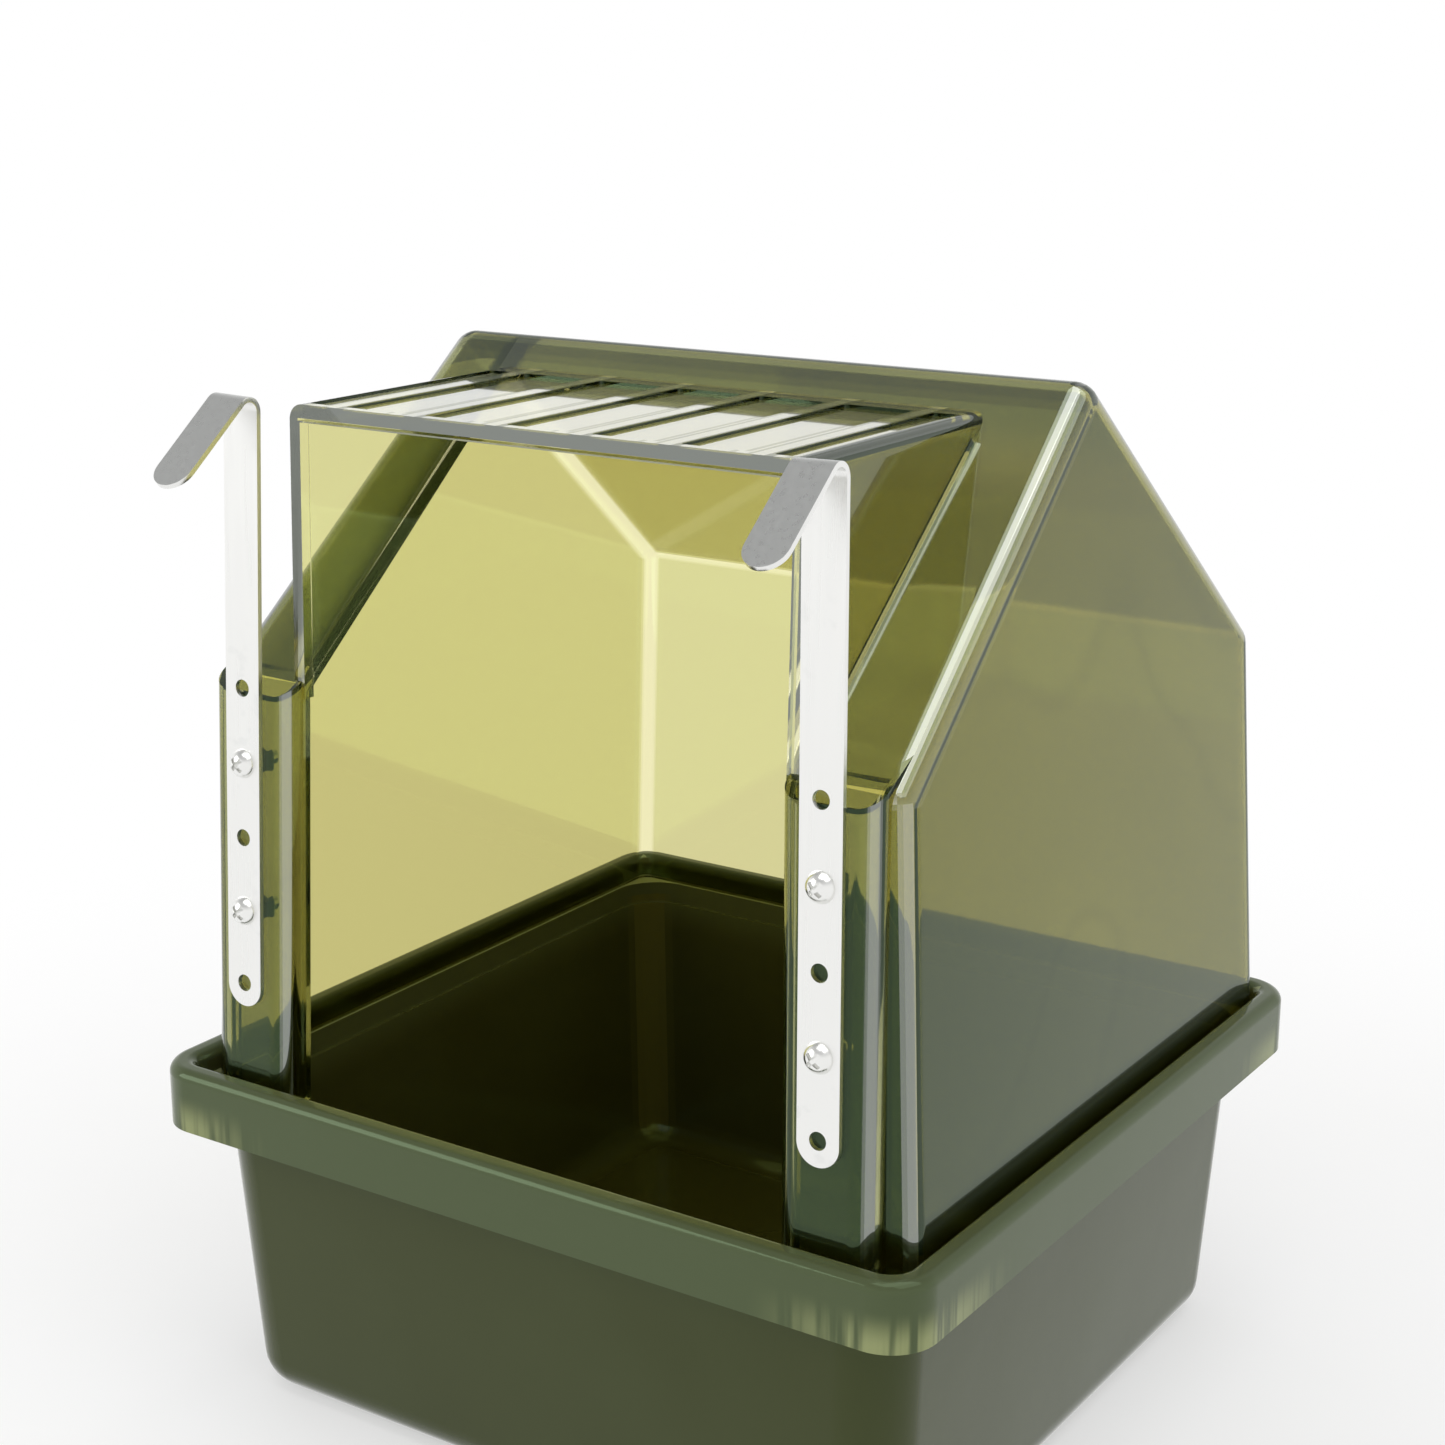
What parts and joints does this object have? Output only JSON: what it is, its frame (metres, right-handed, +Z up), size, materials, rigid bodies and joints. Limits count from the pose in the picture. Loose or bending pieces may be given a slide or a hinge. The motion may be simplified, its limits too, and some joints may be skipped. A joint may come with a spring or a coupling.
{
  "type": "nesting box",
  "caption": "Hang-on nesting box for cage birds: a smoked see-through house with a dormer entrance and ribbed top, seated in a deep dark tray and hung by perforated hook strips.",
  "frame": {"origin": "centre of the tray's flat underside, on which the box stands", "axes": "+X to the right seen from the front, +Y from the entrance to the back, +Z up"},
  "size_m": [0.177, 0.1805, 0.214],
  "materials": {
    "smoked_plastic": "clear smoked olive styrene, polished",
    "dark_plastic": "deep olive brown styrene, polished",
    "zinc_strip": "bright zinc plated strip, lightly brushed",
    "zinc_hardware": "bright zinc plated screws and nuts"
  },
  "bodies": {
    "tray": {"tray": "dark_plastic"},
    "house": {"house_shell": "smoked_plastic", "hanger_left": "zinc_strip", "hanger_right": "zinc_strip", "screw_left_lower": "zinc_hardware", "screw_left_upper": "zinc_hardware", "screw_right_lower": "zinc_hardware", "screw_right_upper": "zinc_hardware", "nut_left_lower": "zinc_hardware", "nut_left_upper": "zinc_hardware", "nut_right_lower": "zinc_hardware", "nut_right_upper": "zinc_hardware"}
  },
  "joints": [
    {"name": "house_lift", "type": "slide", "parent": "tray", "child": "house", "axis": [0, 0, 1], "range_m": [0, 0.06]}
  ]
}
